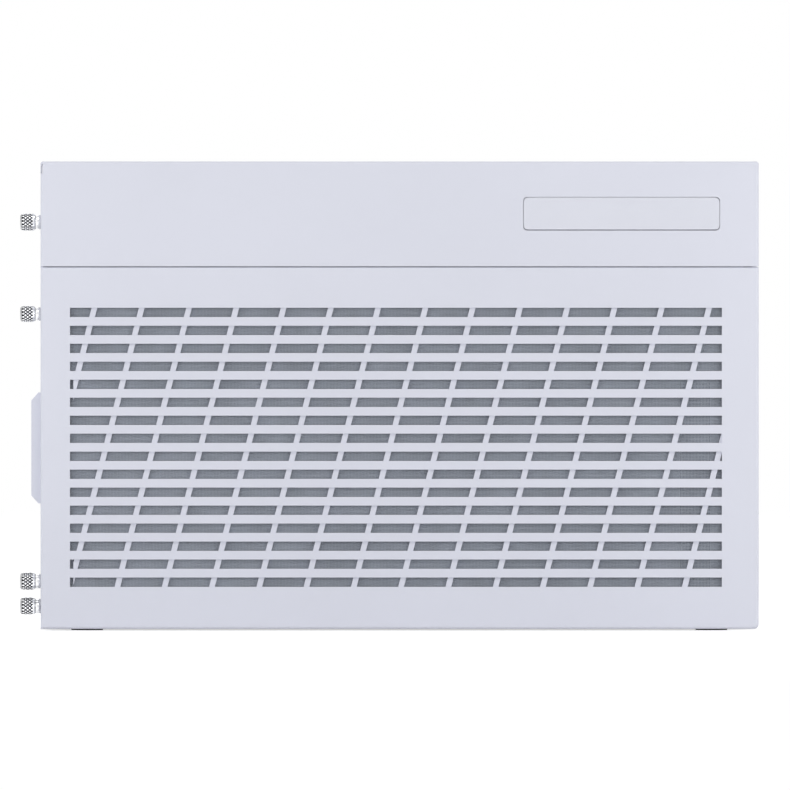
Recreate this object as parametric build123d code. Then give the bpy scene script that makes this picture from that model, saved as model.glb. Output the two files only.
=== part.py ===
"""Small desktop computer case: folded steel chassis, slotted side panel, lift-off covers.

Millimetres, +Z up, rear towards -X, slotted side towards -Y. The origin is the middle of
the footprint on the surface that the case stands on.
"""
import os
from math import radians, tan

from build123d import *

# Closed case, without pads and thumbscrews
case_length = 401.0
case_width = 240.0
case_height = 261.0

# Folded sheet
sheet = 1.0
bend = 1.5
lip_depth = 7.0
flange_depth = 16.0
leg_depth = 12.0
chassis_gap = 0.6

# Split between the top cover and the side panels
skirt_height = 58.6
seam = 0.35
corner_round = 2.5
relief_height = 6.7
relief_width = 1.1
cover_rear_flange = 12.0

# Slotted vent in the left panel
slot_count = 16
slot_pitch = 10.04
slot_height = 5.2
slot_length = 364.0
slot_rear_margin = 16.4
vent_middle = 101.4
rib_pitch = 26.4
rib_width = 3.2
rib_depth = 1.2
rib_lean = 14.4
rib_first = 29.3
rib_first_height = 176.3
rib_count = 16
rib_end_inset = 1.9
rib_overlap = 2.0

# Dust filter behind the vent
filter_border = 7.0
filter_depth = 3.2
mesh_thickness = 0.4
mesh_gap = 0.3

# Pull tab on each side panel
tab_length = 62.0
tab_reach = 5.2
tab_chamfer = 4.5

# Thumbscrews on the rear edge
screw_head_radius = 4.5
screw_head_length = 8.6
screw_collar_radius = 3.5
screw_collar_length = 2.8
screw_shank_radius = 1.65
screw_shank_length = 8.0
screw_flutes = 20
screw_flute_depth = 0.45
screw_chamfer = 0.7
screw_inset = 12.5
cover_screw_drop = 33.4
panel_screw_high = 176.0
panel_screw_low = 26.1
tray_screw_height = 12.1
running_fit = 0.06

# Feet and floor
foot_reach = 0.8
foot_radius = 9.0
foot_inset = 26.0
floor_gap = 2.0
floor_leg = 14.0
floor_slot_count = 9
floor_slot_pitch = 11.0
floor_slot_width = 5.0
floor_slot_length = 64.0
floor_slot_from_front = 150.0

# Sliding board tray with its rear plate
tray_length = 190.0
tray_side_margin = 12.4
tray_back_overlap = 2.2
tray_back_height = 152.0
tray_opening_rim = 1.4
tray_ear_reach = 11.0
tray_ear_height = 19.4
tray_side_play = 0.3
guide_lip = 3.0
port_plate_width = 158.75
port_plate_height = 44.45
board_thickness = 1.6
port_plate_drop = 2.3
rear_vent_rows = 7
rear_vent_columns = 3
rear_vent_length = 42.0
rear_vent_bridge = 7.0
rear_vent_low = 68.0
card_offset = 11.0
card_pitch = 20.32
card_slot_width = 12.7
card_slot_low = 20.0
card_slot_height = 104.0
cover_blade_width = 18.4
cover_blade_thickness = 0.86
cover_blade_low = 9.0
card_ledge_height = 129.0
card_ledge_depth = 14.0
card_screw_head = 3.0
card_screw_head_height = 2.0
card_screw_radius = 1.6
card_screw_length = 6.0

# Standoffs for a small square board
standoff_height = 6.5
standoff_radius = 3.0
standoff_bore = 1.6
standoff_bore_depth = 5.5
board_hole_depth = 154.94
board_hole_width = 157.48
board_hole_from_rear = 22.0
board_from_edge = 86.0

# Power supply bay
supply_width = 150.0
supply_height = 86.0
supply_play = 1.0
supply_top_gap = 1.0
supply_hole_radius = 2.0
supply_holes = ((6.0, 80.0), (144.0, 80.0), (6.0, 16.0), (120.0, 6.0))
supply_window_side = 13.0
supply_window_edge = 11.0
shelf_length = 165.0
shelf_window = 118.0
rail_drop = 8.0
rail_leg = 14.0
rail_shelf = 14.0

# Front wall, fan and fascia
front_inset = 15.0
fan_size = 120.0
fan_depth = 25.0
fan_height = 78.0
fan_bore = 57.5
fan_corner = 5.0
fan_hole_spacing = 105.0
fan_hole_radius = 2.2
fan_hub_radius = 19.5
fan_hub_length = 17.0
fan_base_thickness = 3.0
fan_strut_width = 6.0
fan_strut_count = 4
fan_blade_count = 7
fan_blade_clearance = 1.2
fan_tip_sag = 2.6
fan_root_chord = 22.0
fan_tip_chord = 34.0
fan_root_pitch = 48.0
fan_tip_pitch = 68.0
fan_blade_thickness = 1.6
fan_spindle_radius = 2.0
fan_spindle_length = 8.0
fan_screw_head = 3.8
fan_screw_head_height = 2.0
fan_screw_length = 9.0
front_vent_count = 7
front_vent_pitch = 12.0
front_vent_width = 5.0
front_vent_length = 150.0
front_vent_low = 160.0
fascia_thickness = 3.0
fascia_recess = 1.0
fascia_gap = 4.0
fascia_round = 6.0
fascia_post_radius = 5.0
fascia_post_inset = 20.0

# Power button
button_radius = 8.0
button_play = 0.1
button_cap_length = 5.0
button_recess = 0.2
button_stem_radius = 3.0
button_flange = 1.6
button_flange_thickness = 1.2
button_travel = 1.8
button_from_top = 28.0
button_from_side = 60.0
switch_size = 12.0
switch_depth = 5.0

# Flush door over the ports
door_length = 109.4
door_height = 18.2
door_gap = 0.25
door_round = 2.2
door_corner = 2.6
door_plate = 1.6
door_barrel = 1.7
door_axis_height = 4.4
door_pin_radius = 0.6
door_pin_length = 2.5
door_front_margin = 21.9
door_from_top = 29.2
frame_border = 6.0
frame_depth = 4.0
frame_stop = 1.6

# Ports behind the door
ports_plate_border = 6.0
port_depth = 15.0
ports_board_margin = 3.0
port_play = 0.3
port_wall = 0.5
port_mouth_proud = 0.6
port_spacing = 26.0
usb_width = 14.4
usb_height = 7.0
usb_cavity_depth = 10.0
usb_tongue = 2.0
slim_width = 9.0
slim_height = 3.4
slim_tongue = 0.8
jack_size = 9.0
jack_bore = 1.8
jack_nose_radius = 3.4
ports_post_radius = 2.2

# Bracket for one small drive
drive_length = 100.0
drive_width = 72.0
drive_lift = 9.0
drive_foot = 10.0
drive_hole_length = 76.6
drive_hole_width = 61.72
drive_hole_radius = 1.7
drive_from_front = 146.0
drive_middle = 50.0

# Places that follow from the sizes above
screw_reach = screw_head_length + screw_collar_length
rear = -(case_length - screw_reach) / 2
front = rear + case_length
half = case_width / 2
base = foot_reach
top = base + case_height
cover_low = top - skirt_height
panel_top = cover_low - seam
chassis_half = half - lip_depth - chassis_gap
inner_bend = bend - sheet
floor_z = base + floor_gap
floor_top = floor_z + sheet
wall_top = top - lip_depth - chassis_gap
wall_in = rear + 2 * sheet
rail_rear = wall_in + inner_bend
front_wall_out = front - front_inset
front_wall_in = front_wall_out - sheet
rail_front = front_wall_in - inner_bend
screw_y = half - screw_inset
tab_middle = base + (panel_screw_high + panel_screw_low) / 2
vent_low = base + vent_middle - (slot_count - 1) * slot_pitch / 2 - slot_height / 2
vent_high = vent_low + (slot_count - 1) * slot_pitch + slot_height
vent_rear = rear + slot_rear_margin
vent_front = vent_rear + slot_length
tray_top = floor_top + sheet
tray_half_width = chassis_half - tray_side_margin
tray_back_half = tray_half_width + tray_back_overlap
tray_ear_half = tray_half_width + tray_ear_reach
port_plate_edge = tray_half_width
board_middle = port_plate_edge - board_from_edge
cover_screw_height = case_height - cover_screw_drop
standoff_top = tray_top + standoff_height
port_plate_low = standoff_top + board_thickness - port_plate_drop
tray_opening_half = tray_back_half - tray_opening_rim
tray_opening_top = base + tray_back_height - 3 * tray_opening_rim
card_middles = [port_plate_edge - port_plate_width - card_offset - i * card_pitch for i in range(2)]
rail_z = panel_top - rail_drop
shelf_top = wall_top - supply_top_gap - supply_height
shelf_half = supply_width / 2 + supply_play
fan_z = base + fan_height
button_y = half - button_from_side
button_z = top - button_from_top
door_front = front - door_front_margin
door_rear = door_front - door_length
door_x = (door_front + door_rear) / 2
door_z = top - door_from_top
door_low = door_z - door_height / 2
door_axis_y = -half + door_barrel
door_axis_z = door_low + door_axis_height
ports_y = -chassis_half + sheet
ports_board_y = ports_y + sheet + port_depth
flange_low = base + tray_ear_height + seam


def span(x0, x1, y0, y1, z0, z1):
    """Block between two corners."""
    middle = Pos((x0 + x1) / 2, (y0 + y1) / 2, (z0 + z1) / 2)
    return middle * Box(x1 - x0, y1 - y0, z1 - z0)


def rod_x(x0, x1, y, z, radius):
    """Round bar along X."""
    return Pos((x0 + x1) / 2, y, z) * Rot(0, 90, 0) * Cylinder(radius, x1 - x0)


def rod_y(x, y0, y1, z, radius):
    """Round bar along Y."""
    return Pos(x, (y0 + y1) / 2, z) * Rot(90, 0, 0) * Cylinder(radius, y1 - y0)


def rod_z(x, y, z0, z1, radius):
    """Round bar along Z."""
    return Pos(x, y, (z0 + z1) / 2) * Cylinder(radius, z1 - z0)


def plate_y(outline, x, z, y0, y1):
    """Outline drawn in X and Z, made as thick as the gap from y0 to y1."""
    face_plane = Plane((x, y1, z), x_dir=(1, 0, 0), z_dir=(0, -1, 0))
    return extrude(face_plane * outline, y1 - y0)


def plate_x(outline, y, z, x0, x1):
    """Outline drawn in Y and Z, made as thick as the gap from x0 to x1."""
    face_plane = Plane((x0, y, z), x_dir=(0, 1, 0), z_dir=(1, 0, 0))
    return extrude(face_plane * outline, x1 - x0)


def folded_u(web, leg):
    """Section of a folded channel: web centred on X, both legs towards +Y."""
    w = web / 2
    outline = Polyline(
        (-w, 0), (w, 0), (w, leg), (w - sheet, leg), (w - sheet, sheet),
        (sheet - w, sheet), (sheet - w, leg), (-w, leg), close=True,
    )
    face = make_face(outline)
    outer = [v for v in face.vertices() if abs(v.Y) < 1e-6]
    face = fillet(outer, bend)
    inner = [v for v in face.vertices() if abs(v.Y - sheet) < 1e-6 and abs(abs(v.X) - w + sheet) < 1e-6]
    return fillet(inner, inner_bend)


def both_sides(shape):
    """Shape and its mirror image across the middle plane of the case."""
    return [shape, mirror(shape, about=Plane.XZ)]


def screw_hole(x0, x1, y, z):
    """Clearance hole for a thumbscrew's shank."""
    return rod_x(x0, x1, y, z, screw_shank_radius + running_fit)


def panel_shell():
    """Left side panel before its vent: shallow folded tray, rear flange and pull tab."""
    tray = span(rear, front, -half, -half + lip_depth, base, panel_top)
    corner = [e for e in tray.edges().filter_by(Axis.Y) if e.center().X > 0 and e.center().Z < tab_middle]
    tray = fillet(corner, corner_round)
    face_edges = tray.faces().sort_by(Axis.Y)[0].edges()
    tray = fillet(face_edges, bend)
    shell = offset(tray, -sheet, openings=tray.faces().sort_by(Axis.Y)[-1])
    flange_high = panel_top - seam - sheet
    shell += span(
        rear, rear + sheet, -half + bend, -half + flange_depth, flange_low, flange_high
    )
    reach = tab_reach + sheet / 2
    tab = Polyline(
        (sheet / 2, -tab_length / 2), (sheet / 2, tab_length / 2),
        (-tab_reach + tab_chamfer - sheet / 2, tab_length / 2),
        (sheet / 2 - reach, tab_length / 2 - tab_chamfer),
        (sheet / 2 - reach, tab_chamfer - tab_length / 2),
        (-tab_reach + tab_chamfer - sheet / 2, -tab_length / 2), close=True,
    )
    tab_y = -half + lip_depth
    shell += plate_y(make_face(tab), rear, tab_middle, tab_y, tab_y + sheet)
    for height in (panel_screw_high, panel_screw_low):
        shell -= screw_hole(rear - sheet, rear + 2 * sheet, -screw_y, base + height)
    return shell


def left_panel():
    """Side panel with the slotted vent."""
    panel = panel_shell()
    slots = []
    for row in range(slot_count):
        low = vent_low + row * slot_pitch
        slots.append(span(vent_rear, vent_front, -half - sheet, -half + 2 * sheet, low, low + slot_height))
    return panel - slots


def right_panel():
    """Plain side panel, the mirror image of the left one without a vent."""
    return mirror(panel_shell(), about=Plane.XZ)


def vent_ribs():
    """Leaning ribs bonded to the back of the slats."""
    slope = tan(radians(rib_lean))
    low = vent_low - rib_overlap
    high = vent_high + rib_overlap
    window = span(vent_rear + rib_end_inset, vent_front, -half, 0, low, high)
    ribs = []
    for index in range(rib_count):
        middle = rear + rib_first + index * rib_pitch
        x_low = middle + (low - base - rib_first_height) * slope
        x_high = middle + (high - base - rib_first_height) * slope
        edge = rib_width / 2
        outline = Polyline(
            (x_low - edge, low), (x_low + edge, low), (x_high + edge, high), (x_high - edge, high),
            close=True,
        )
        bar = plate_y(make_face(outline), 0, 0, -half + sheet, -half + sheet + rib_depth)
        ribs.append(bar & window)
    return Compound(children=[r.solid() for r in ribs if r.volume > rib_width])


def filter_frame():
    """Moulded border that holds the dust mesh against the panel."""
    width = slot_length + 2 * filter_border
    height = vent_high - vent_low + 2 * filter_border
    inner_width = width - 2 * filter_border + 2 * rib_overlap
    inner_height = height - 2 * filter_border + 2 * rib_overlap + seam
    ring = RectangleRounded(width, height, corner_round) - Rectangle(inner_width, inner_height)
    return plate_y(
        ring, (vent_rear + vent_front) / 2, (vent_low + vent_high) / 2,
        -half + sheet, -half + sheet + filter_depth,
    )


def filter_mesh():
    """Sheet of fine dust mesh behind the ribs."""
    width = slot_length + 2 * rib_overlap
    height = vent_high - vent_low + 2 * rib_overlap + seam
    y0 = -half + sheet + rib_depth + mesh_gap
    return plate_y(
        Rectangle(width, height), (vent_rear + vent_front) / 2, (vent_low + vent_high) / 2,
        y0, y0 + mesh_thickness,
    )


def door_outline(grow):
    """Rounded outline of the port door, grown all round."""
    return RectangleRounded(door_length + 2 * grow, door_height + 2 * grow, door_round + grow)


def top_cover():
    """Top and both side skirts in one folded piece, open at the front, rear and below."""
    block = span(rear, front, -half, half, cover_low, top)
    rounded = [e for e in block.edges() if e.center().Z > cover_low + sheet]
    block = fillet(rounded, bend)
    below = block.faces().sort_by(Axis.Z)[0]
    cover = offset(block, -sheet, openings=below)
    side = half - lip_depth
    cover -= span(front - 2 * bend, front + sheet, -side, side, cover_low - sheet, top - lip_depth)
    rear_side = half - flange_depth
    cover -= span(
        rear - sheet, rear + 2 * bend, -rear_side, rear_side, cover_low - sheet, top - cover_rear_flange
    )
    lip_inside = -half + lip_depth
    lip_outside = -half + sheet / 2
    lip = span(rear + sheet / 2, front - sheet / 2, lip_outside, lip_inside, cover_low, cover_low + sheet)
    relief = span(
        rear - sheet, rear + relief_width, -half - sheet, -half + 2 * bend, top - relief_height, top + sheet
    )
    hole = screw_hole(rear - sheet, rear + 2 * bend, -screw_y, base + cover_screw_height)
    cover += both_sides(lip)
    cover -= both_sides(relief) + both_sides(hole)
    cover -= plate_y(door_outline(door_gap), door_x, door_z, -half - sheet, -half + 2 * sheet)
    return cover


def door_frame():
    """Moulded frame behind the skirt with the door's pin sockets and stop."""
    y0 = -half + sheet
    border = Rectangle(door_length + 2 * frame_border, door_height + 2 * frame_border)
    frame = plate_y(border - door_outline(door_gap), door_x, door_z, y0, y0 + frame_depth)
    stop_z = door_low + door_height
    stop_y = -half + door_plate
    frame += span(
        door_rear + frame_border, door_front - frame_border, stop_y + running_fit, y0 + frame_depth,
        stop_z - frame_stop, stop_z + sheet,
    )
    socket = door_pin_radius + running_fit
    reach = door_pin_length + running_fit
    frame -= rod_x(door_rear - reach, door_front + reach, door_axis_y, door_axis_z, socket)
    return frame


def io_door():
    """Flush door that drops open: its lower edge turns inwards below the hinge line."""
    upper = span(door_rear, door_front, -half, -half + door_plate, door_axis_z, door_low + door_height)
    lower = span(door_rear, door_front, -half, -half + door_plate, door_low, door_axis_z)
    lower = lower & rod_x(door_rear, door_front, door_axis_y, door_axis_z, door_axis_height)
    blank = upper + lower + rod_x(door_rear, door_front, door_axis_y, door_axis_z, door_barrel)
    outline = RectangleRounded(door_length, door_height, door_corner)
    door = blank & plate_y(outline, door_x, door_z, -half - sheet, -half + 3 * door_barrel)
    reach = door_pin_length
    return door + rod_x(door_rear - reach, door_front + reach, door_axis_y, door_axis_z, door_pin_radius)


def fluted_ring():
    """Outline of a thumbscrew's grip, with a sharp flute between each pair of teeth."""
    points = []
    for step in range(2 * screw_flutes):
        radius = screw_head_radius - (step % 2) * screw_flute_depth
        points.append(Vector(radius, 0, 0).rotate(Axis.Z, step * 180 / screw_flutes))
    return make_face(Polyline(*points, close=True))


def thumbscrew(y, z):
    """Fluted thumbscrew with tapered head ends and a plain collar, its seat at the rear plane."""
    collar_end = rear - screw_collar_length
    grip_end = collar_end - screw_chamfer
    grip_length = screw_head_length - 2 * screw_chamfer
    core = screw_head_radius - screw_flute_depth
    end = Cone(core, core - screw_chamfer, screw_chamfer)
    screw = plate_x(fluted_ring(), y, z, grip_end - grip_length, grip_end)
    screw += Pos(grip_end + screw_chamfer / 2, y, z) * Rot(0, 90, 0) * end
    screw += Pos(grip_end - grip_length - screw_chamfer / 2, y, z) * Rot(0, -90, 0) * end
    screw += rod_x(collar_end, rear, y, z, screw_collar_radius)
    return screw + rod_x(rear, rear + screw_shank_length, y, z, screw_shank_radius)


def floor_pan():
    """Floor with upturned legs and a field of vent slots."""
    section = Plane((rail_rear, 0, floor_z), x_dir=(0, 1, 0), z_dir=(1, 0, 0))
    pan = extrude(section * folded_u(2 * (chassis_half - sheet), floor_leg), rail_front - rail_rear)
    slots = []
    for index in range(floor_slot_count):
        y = (index - (floor_slot_count - 1) / 2) * floor_slot_pitch - drive_middle
        slots.append(
            Pos(front - floor_slot_from_front + floor_slot_length, y, floor_z + sheet / 2)
            * extrude(SlotOverall(floor_slot_length, floor_slot_width), 2 * sheet, both=True)
        )
    return pan - slots


def foot(x, y):
    """Low rubber pad under the floor."""
    pad = rod_z(x, y, 0, floor_z, foot_radius)
    return chamfer(pad.faces().sort_by(Axis.Z)[0].edges(), foot_reach / 2)


def upright_channel(web_x, towards):
    """Rear or front wall blank: web across the case, legs folded along X."""
    section = Plane((web_x, 0, floor_z), x_dir=(0, -towards, 0), z_dir=(0, 0, 1))
    return extrude(section * folded_u(2 * chassis_half, leg_depth), wall_top - floor_z)


def rear_wall():
    """Rear frame: tray opening below, power supply window above."""
    wall = upright_channel(rear + sheet, 1)
    x0 = rear
    x1 = wall_in + sheet
    wall -= span(x0, x1, -tray_opening_half, tray_opening_half, floor_z - sheet, tray_opening_top)
    wall -= span(
        x0, x1, supply_window_side - supply_width / 2, supply_width / 2 - supply_window_side,
        shelf_top + supply_window_edge, shelf_top + supply_height - supply_window_edge,
    )
    for y, z in supply_holes:
        wall -= rod_x(x0, x1, y - supply_width / 2, shelf_top + z, supply_hole_radius)
    for height in (cover_screw_height, panel_screw_high, panel_screw_low, tray_screw_height):
        wall -= both_sides(screw_hole(x0, x1, -screw_y, base + height))
    return wall


def front_wall():
    """Inner front wall with the fan opening and a bank of upright vents."""
    wall = upright_channel(front_wall_out, -1)
    x0 = front_wall_in - sheet
    x1 = front_wall_out + sheet
    wall -= rod_x(x0, x1, 0, fan_z, fan_bore)
    for y, z in fan_corners():
        wall -= rod_x(x0, x1, y, z, fan_hole_radius)
    for index in range(front_vent_count):
        z = base + front_vent_low + index * front_vent_pitch
        wall -= plate_x(SlotOverall(front_vent_length, front_vent_width), 0, z, x0, x1)
    return wall


def side_rail():
    """Left angle rail from the rear wall to the front wall, behind the seam."""
    y = -chassis_half + sheet
    upright = span(rail_rear, rail_front, y, y + sheet, rail_z, rail_z + rail_leg)
    return upright + span(rail_rear, rail_front, y, y + rail_shelf, rail_z, rail_z + sheet)


def psu_shelf():
    """Hat-shaped shelf that hangs from both rails and carries the power supply."""
    x1 = wall_in + shelf_length
    outer = chassis_half - 2 * sheet
    shelf = span(wall_in, x1, -shelf_half - sheet, shelf_half + sheet, shelf_top - sheet, shelf_top)
    leg = span(wall_in, x1, -shelf_half - sheet, -shelf_half, shelf_top - sheet, rail_z + 2 * sheet)
    wing = span(wall_in, x1, -outer, -shelf_half, rail_z + sheet, rail_z + 2 * sheet)
    shelf += both_sides(leg + wing)
    middle = wall_in + shelf_length / 2
    window = Pos(middle, 0, shelf_top) * extrude(
        RectangleRounded(shelf_window, shelf_window, fan_corner), 2 * sheet, both=True
    )
    return shelf - window


def board_tray():
    """Sliding floor plate folded up into the rear plate with its openings."""
    ear_top = base + tray_ear_height
    tray = span(rear, rear + tray_length, -tray_half_width, tray_half_width, floor_top, tray_top)
    tray += span(rear, rear + sheet, -tray_back_half, tray_back_half, floor_top, base + tray_back_height)
    tray += span(rear, rear + sheet, -tray_ear_half, tray_ear_half, floor_top, ear_top)
    port_rear = port_plate_edge - port_plate_width
    x0 = rear - sheet
    x1 = rear + 2 * sheet
    tray -= span(x0, x1, port_rear, port_plate_edge, port_plate_low, port_plate_low + port_plate_height)
    ledge_low = min(card_middles) - cover_blade_width / 2
    ledge_high = max(card_middles) + cover_blade_width / 2
    ledge_z = base + card_ledge_height
    tray += span(rear, rear + card_ledge_depth, ledge_low, ledge_high, ledge_z - sheet, ledge_z)
    blade_x = rear + sheet + cover_blade_thickness
    for y in card_middles:
        slot_low = base + card_slot_low
        tray -= span(
            x0, x1, y - card_slot_width / 2, y + card_slot_width / 2, slot_low, slot_low + card_slot_height
        )
        tray -= span(
            rear + sheet, blade_x, y - cover_blade_width / 2, y + cover_blade_width / 2,
            ledge_z - 2 * sheet, ledge_z + sheet,
        )
        bore = card_screw_radius + running_fit
        tray -= rod_z(*card_screw_place(y), ledge_z - 2 * sheet, ledge_z + sheet, bore)
    vent_step = rear_vent_length + rear_vent_bridge
    for column in range(rear_vent_columns):
        y = port_rear + port_plate_width / 2 + (column - (rear_vent_columns - 1) / 2) * vent_step
        for row in range(rear_vent_rows):
            low = base + rear_vent_low + row * slot_pitch
            tray -= span(x0, x1, y - rear_vent_length / 2, y + rear_vent_length / 2, low, low + slot_height)
    for side in (-1, 1):
        tray -= screw_hole(x0, x1, side * screw_y, base + tray_screw_height)
    return tray


def card_screw_place(y):
    """X and Y of the screw that holds one slot cover."""
    return rear + card_ledge_depth / 2 + sheet, y


def slot_covers():
    """Blanking blades behind the card openings, each bent over the ledge."""
    x0 = rear + sheet
    ledge_z = base + card_ledge_height
    blades = []
    for y in card_middles:
        y0 = y - cover_blade_width / 2
        y1 = y + cover_blade_width / 2
        blade_top = ledge_z + cover_blade_thickness
        blade = span(x0, x0 + cover_blade_thickness, y0, y1, base + cover_blade_low, blade_top)
        blade += span(x0, rear + card_ledge_depth, y0, y1, ledge_z, ledge_z + cover_blade_thickness)
        bore = card_screw_radius + running_fit
        blade -= rod_z(*card_screw_place(y), ledge_z - sheet, ledge_z + 2 * sheet, bore)
        blades.append(blade.solid())
    return Compound(children=blades)


def slot_screws():
    """Pan-head screws for the slot covers."""
    seat = base + card_ledge_height + cover_blade_thickness
    screws = []
    for y in card_middles:
        x, y = card_screw_place(y)
        head = rod_z(x, y, seat, seat + card_screw_head_height, card_screw_head)
        head = chamfer(head.faces().sort_by(Axis.Z)[-1].edges(), card_screw_head_height / 3)
        screws.append((head + rod_z(x, y, seat - card_screw_length, seat, card_screw_radius)).solid())
    return Compound(children=screws)


def tray_guide():
    """Left angle strip that keeps the tray's edge down on the floor."""
    y0 = -tray_half_width - tray_side_play
    x0 = wall_in + leg_depth
    x1 = rear + tray_length + leg_depth
    lip_z = tray_top + tray_side_play
    guide = span(x0, x1, y0 - sheet, y0, floor_top, lip_z + sheet)
    return guide + span(x0, x1, y0 - sheet, y0 + guide_lip, lip_z, lip_z + sheet)


def board_standoffs():
    """Hexagonal posts with tapped bores at the board's four holes."""
    posts = []
    for along in (0, board_hole_depth):
        for across in (-board_hole_width / 2, board_hole_width / 2):
            place = Pos(rear + board_hole_from_rear + along, board_middle + across, tray_top)
            post = extrude(RegularPolygon(standoff_radius, 6), standoff_height)
            bore_middle = standoff_height - standoff_bore_depth / 2
            bore = Pos(0, 0, bore_middle) * Cylinder(standoff_bore, standoff_bore_depth)
            posts.append((place * (post - bore)).solid())
    return Compound(children=posts)


def fan_corners():
    """Y and Z of the fan's four screw holes."""
    reach = fan_hole_spacing / 2
    return [(y, fan_z + z) for y in (-reach, reach) for z in (-reach, reach)]


def fan_frame():
    """Square fan housing with a round duct, motor base and struts on the inner side."""
    x0 = front_wall_in - fan_depth
    outline = RectangleRounded(fan_size, fan_size, fan_corner) - Circle(fan_bore)
    frame = plate_x(outline, 0, fan_z, x0, front_wall_in)
    for y, z in fan_corners():
        frame -= rod_x(x0 - sheet, front_wall_out, y, z, fan_hole_radius)
    frame += rod_x(x0, x0 + fan_base_thickness, 0, fan_z, fan_hub_radius)
    strut = Rectangle(fan_bore - fan_hub_radius / 2, fan_strut_width)
    strut_middle = (fan_bore + fan_hub_radius / 2) / 2 + running_fit
    struts = Sketch() + PolarLocations(strut_middle, fan_strut_count, start_angle=45) * strut
    frame += plate_x(struts, 0, fan_z, x0, x0 + fan_base_thickness)
    socket_end = x0 + fan_base_thickness + sheet
    return frame - rod_x(x0 - sheet, socket_end, 0, fan_z, fan_spindle_radius + running_fit)


def fan_blade():
    """One twisted blade from inside the hub to a flat tip, axis along Z."""
    root = fan_hub_radius - 2 * sheet
    tip = fan_bore - fan_blade_clearance - fan_tip_sag
    sections = []
    for reach, chord, pitch in ((root, fan_root_chord, fan_root_pitch), (tip, fan_tip_chord, fan_tip_pitch)):
        across = Plane((reach, 0, 0), x_dir=(0, 0, 1), z_dir=(1, 0, 0))
        sections.append(across * Rot(0, 0, pitch) * Rectangle(chord, fan_blade_thickness))
    return loft(sections, ruled=True)


def fan_rotor():
    """Hub cup, spindle and swept blades."""
    x0 = front_wall_in - fan_depth + fan_base_thickness + sheet / 2
    rotor = Cylinder(fan_hub_radius, fan_hub_length)
    rotor = fillet(rotor.faces().sort_by(Axis.Z)[-1].edges(), bend)
    rotor += PolarLocations(0, fan_blade_count) * fan_blade()
    rotor = Pos(x0 + fan_hub_length / 2, 0, fan_z) * Rot(0, 90, 0) * rotor
    spindle_end = x0 + fan_spindle_length / 2
    spindle = rod_x(front_wall_in - fan_depth + sheet / 2, spindle_end, 0, fan_z, fan_spindle_radius)
    return rotor + spindle


def fan_screws():
    """Four screws through the front wall into the fan's corners."""
    screws = []
    for y, z in fan_corners():
        head = rod_x(front_wall_out, front_wall_out + fan_screw_head_height, y, z, fan_screw_head)
        head = chamfer(head.faces().sort_by(Axis.X)[-1].edges(), fan_screw_head_height / 3)
        shank = rod_x(front_wall_out - fan_screw_length, front_wall_out, y, z, fan_hole_radius - running_fit)
        screws.append((head + shank).solid())
    return Compound(children=screws)


def front_fascia():
    """Plain front plate on posts, with an air gap all round its edge."""
    plate_out = front - fascia_recess
    plate_in = plate_out - fascia_thickness
    side = half - lip_depth - fascia_gap
    low = base + lip_depth + fascia_gap
    high = top - lip_depth - fascia_gap
    middle = (low + high) / 2
    outline = RectangleRounded(2 * side, high - low, fascia_round)
    fascia = plate_x(outline, 0, middle, plate_in, plate_out)
    fascia = fillet(fascia.faces().sort_by(Axis.X)[-1].edges(), sheet)
    for y in (fascia_post_inset - side, side - fascia_post_inset):
        for z in (low + fascia_post_inset, high - fascia_post_inset / 2):
            fascia += rod_x(front_wall_out, plate_in, y, z, fascia_post_radius)
    button_hole = button_radius + button_play
    return fascia - rod_x(plate_in - sheet, plate_out + sheet, button_y, button_z, button_hole)


def power_switch():
    """Small push switch on the front wall behind the button."""
    reach = switch_size / 2
    return span(
        front_wall_out, front_wall_out + switch_depth, button_y - reach, button_y + reach,
        button_z - reach, button_z + reach,
    )


def power_button():
    """Round button with a retaining flange and a stem to the switch."""
    face = front - fascia_recess + button_recess
    cap = rod_x(face - button_cap_length, face, button_y, button_z, button_radius)
    cap = chamfer(cap.faces().sort_by(Axis.X)[-1].edges(), sheet / 2)
    flange_x = front - fascia_recess - fascia_thickness - button_recess
    cap += rod_x(
        flange_x - button_flange_thickness, flange_x, button_y, button_z, button_radius + button_flange
    )
    stem_end = front_wall_out + switch_depth + button_travel + button_recess
    return cap + rod_x(stem_end, face - button_cap_length, button_y, button_z, button_stem_radius)


def port_places():
    """X of the ports behind the door, rear to front."""
    return [door_x + (i - 1.5) * port_spacing for i in range(4)]


def io_bracket():
    """Plate behind the door with port holes, posts and an ear on the front wall."""
    x0 = door_rear - ports_plate_border
    z0 = door_low - ports_plate_border
    z1 = door_low + door_height + ports_plate_border
    plate = span(x0, rail_front, ports_y, ports_y + sheet, z0, z1)
    plate += span(front_wall_in - sheet, front_wall_in, ports_y + inner_bend, ports_y + port_depth, z0, z1)
    for place in (port_places()[0] - port_spacing / 2, port_places()[3] + port_spacing / 2):
        plate += rod_y(place, ports_y, ports_board_y, door_z, ports_post_radius)
    holes = (
        Rectangle(usb_width + 2 * port_play, usb_height + 2 * port_play),
        Rectangle(usb_width + 2 * port_play, usb_height + 2 * port_play),
        RectangleRounded(slim_width + 2 * port_play, slim_height + 2 * port_play, slim_height / 2),
        Circle(jack_nose_radius + port_play),
    )
    for x, hole in zip(port_places(), holes):
        plate -= plate_y(hole, x, door_z, ports_y - sheet, ports_y + 2 * sheet)
    return plate


def io_board():
    """Circuit board that carries the ports."""
    x0 = port_places()[0] - port_spacing / 2 - ports_board_margin
    x1 = port_places()[3] + port_spacing / 2 + ports_board_margin
    z0 = door_low - ports_board_margin
    z1 = door_low + door_height + ports_board_margin
    return span(x0, x1, ports_board_y, ports_board_y + board_thickness, z0, z1)


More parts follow.
